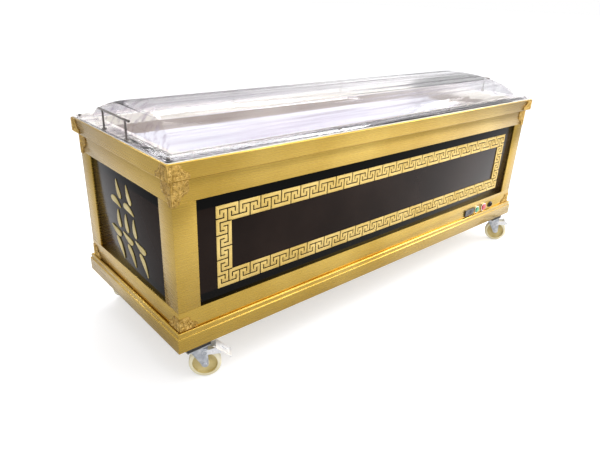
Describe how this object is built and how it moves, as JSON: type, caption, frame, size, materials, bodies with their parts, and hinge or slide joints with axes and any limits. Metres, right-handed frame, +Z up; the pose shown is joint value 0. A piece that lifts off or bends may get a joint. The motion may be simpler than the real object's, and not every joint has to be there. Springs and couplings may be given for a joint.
{
  "type": "refrigerated display casket",
  "caption": "Refrigerated funeral display casket with a gold frame, dark fret panels, a clear lift-off domed lid and swivel casters with brakes.",
  "frame": {"origin": "on the floor, under the middle of the casket", "axes": "+X runs along the casket towards the end with the controls, the long side with the controls faces -Y, and +Z is up"},
  "size_m": [2.203, 0.9248, 0.94],
  "materials": {
    "gold_steel": "satin",
    "insulation": "matte",
    "white_liner": "gloss",
    "ivory_seal": "matte",
    "dark_panel": "gloss",
    "fret_gold": "satin",
    "ornament_brass": "satin",
    "black_plastic": "gloss",
    "button_chrome": "polished",
    "green_plastic": "gloss",
    "red_plastic": "gloss",
    "clear_acrylic": "clear",
    "dark_steel": "satin",
    "black_block": "matte",
    "zinc_steel": "satin",
    "cream_nylon": "satin"
  },
  "bodies": {
    "root": {"plinth": "gold_steel", "carcass": "insulation", "liner": "white_liner", "bottom_rail": "gold_steel", "top_rail": "gold_steel", "post_front_left": "gold_steel", "post_front_right": "gold_steel", "post_back_left": "gold_steel", "post_back_right": "gold_steel", "top_frame": "gold_steel", "rim_seal": "ivory_seal", "panel_front": "dark_panel", "panel_back": "dark_panel", "panel_left": "dark_panel", "panel_right": "dark_panel", "fret_front": "fret_gold", "fret_back": "fret_gold", "emblem_left": "fret_gold", "emblem_right": "fret_gold", "lip_corner_front_left": "ornament_brass", "lip_corner_front_right": "ornament_brass", "lip_corner_back_left": "ornament_brass", "lip_corner_back_right": "ornament_brass", "upper_corner_front_left": "ornament_brass", "upper_corner_front_right": "ornament_brass", "upper_corner_back_left": "ornament_brass", "upper_corner_back_right": "ornament_brass", "lower_corner_front_left": "ornament_brass", "lower_corner_front_right": "ornament_brass", "lower_corner_back_left": "ornament_brass", "lower_corner_back_right": "ornament_brass", "display": "black_plastic", "inlet": "black_plastic", "button_collars": "button_chrome", "lid_dome": "clear_acrylic", "lid_screws": "dark_steel", "handle_left": "dark_steel", "handle_right": "dark_steel", "caster_block_front_left": "black_block", "caster_block_front_right": "black_block", "caster_block_back_left": "black_block", "caster_block_back_right": "black_block", "caster_plate_front_left": "zinc_steel", "caster_plate_front_right": "zinc_steel", "caster_plate_back_left": "zinc_steel", "caster_plate_back_right": "zinc_steel"},
    "green_button": {"green_button": "green_plastic"},
    "red_button": {"red_button": "red_plastic"},
    "fork_front_left": {"caster_fork_front_left": "zinc_steel"},
    "wheel_front_left": {"caster_wheel_front_left": "cream_nylon"},
    "pedal_front_left": {"brake_pedal_front_left": "zinc_steel"},
    "fork_front_right": {"caster_fork_front_right": "zinc_steel"},
    "wheel_front_right": {"caster_wheel_front_right": "cream_nylon"},
    "pedal_front_right": {"brake_pedal_front_right": "zinc_steel"},
    "fork_back_left": {"caster_fork_back_left": "zinc_steel"},
    "wheel_back_left": {"caster_wheel_back_left": "cream_nylon"},
    "pedal_back_left": {"brake_pedal_back_left": "zinc_steel"},
    "fork_back_right": {"caster_fork_back_right": "zinc_steel"},
    "wheel_back_right": {"caster_wheel_back_right": "cream_nylon"},
    "pedal_back_right": {"brake_pedal_back_right": "zinc_steel"}
  },
  "joints": [
    {"name": "green_press", "type": "slide", "parent": "root", "child": "green_button", "axis": [0, 1, 0], "range_m": [0, 0.003], "stiffness_N_per_m": 400, "springref_m": -0.004},
    {"name": "red_press", "type": "slide", "parent": "root", "child": "red_button", "axis": [0, 1, 0], "range_m": [0, 0.003], "stiffness_N_per_m": 400, "springref_m": -0.004},
    {"name": "swivel_front_left", "type": "hinge", "parent": "root", "child": "fork_front_left", "pos_m": [-1.01, -0.337, 0.1235], "axis": [0, 0, 1], "continuous": true},
    {"name": "roll_front_left", "type": "hinge", "parent": "fork_front_left", "child": "wheel_front_left", "pos_m": [-0.98065, -0.35606, 0.059], "axis": [0.5446, 0.8387, 0], "continuous": true},
    {"name": "brake_front_left", "type": "hinge", "parent": "fork_front_left", "child": "pedal_front_left", "pos_m": [-0.97981, -0.35661, 0.1095], "axis": [0.5446, 0.8387, 0], "range_deg": [0, 16]},
    {"name": "swivel_front_right", "type": "hinge", "parent": "root", "child": "fork_front_right", "pos_m": [1.01, -0.337, 0.1235], "axis": [0, 0, 1], "continuous": true},
    {"name": "roll_front_right", "type": "hinge", "parent": "fork_front_right", "child": "wheel_front_right", "pos_m": [1.02803, -0.367, 0.059], "axis": [0.8572, 0.515, 0], "continuous": true},
    {"name": "brake_front_right", "type": "hinge", "parent": "fork_front_right", "child": "pedal_front_right", "pos_m": [1.02854, -0.36786, 0.1095], "axis": [0.8572, 0.515, 0], "range_deg": [0, 16]},
    {"name": "swivel_back_left", "type": "hinge", "parent": "root", "child": "fork_back_left", "pos_m": [-1.01, 0.337, 0.1235], "axis": [0, 0, 1], "continuous": true},
    {"name": "roll_back_left", "type": "hinge", "parent": "fork_back_left", "child": "wheel_back_left", "pos_m": [-0.98065, 0.35606, 0.059], "axis": [-0.5446, 0.8387, 0], "continuous": true},
    {"name": "brake_back_left", "type": "hinge", "parent": "fork_back_left", "child": "pedal_back_left", "pos_m": [-0.97981, 0.35661, 0.1095], "axis": [-0.5446, 0.8387, 0], "range_deg": [0, 16]},
    {"name": "swivel_back_right", "type": "hinge", "parent": "root", "child": "fork_back_right", "pos_m": [1.01, 0.337, 0.1235], "axis": [0, 0, 1], "continuous": true},
    {"name": "roll_back_right", "type": "hinge", "parent": "fork_back_right", "child": "wheel_back_right", "pos_m": [1.02803, 0.367, 0.059], "axis": [-0.8572, 0.515, 0], "continuous": true},
    {"name": "brake_back_right", "type": "hinge", "parent": "fork_back_right", "child": "pedal_back_right", "pos_m": [1.02854, 0.36786, 0.1095], "axis": [-0.8572, 0.515, 0], "range_deg": [0, 16]}
  ]
}
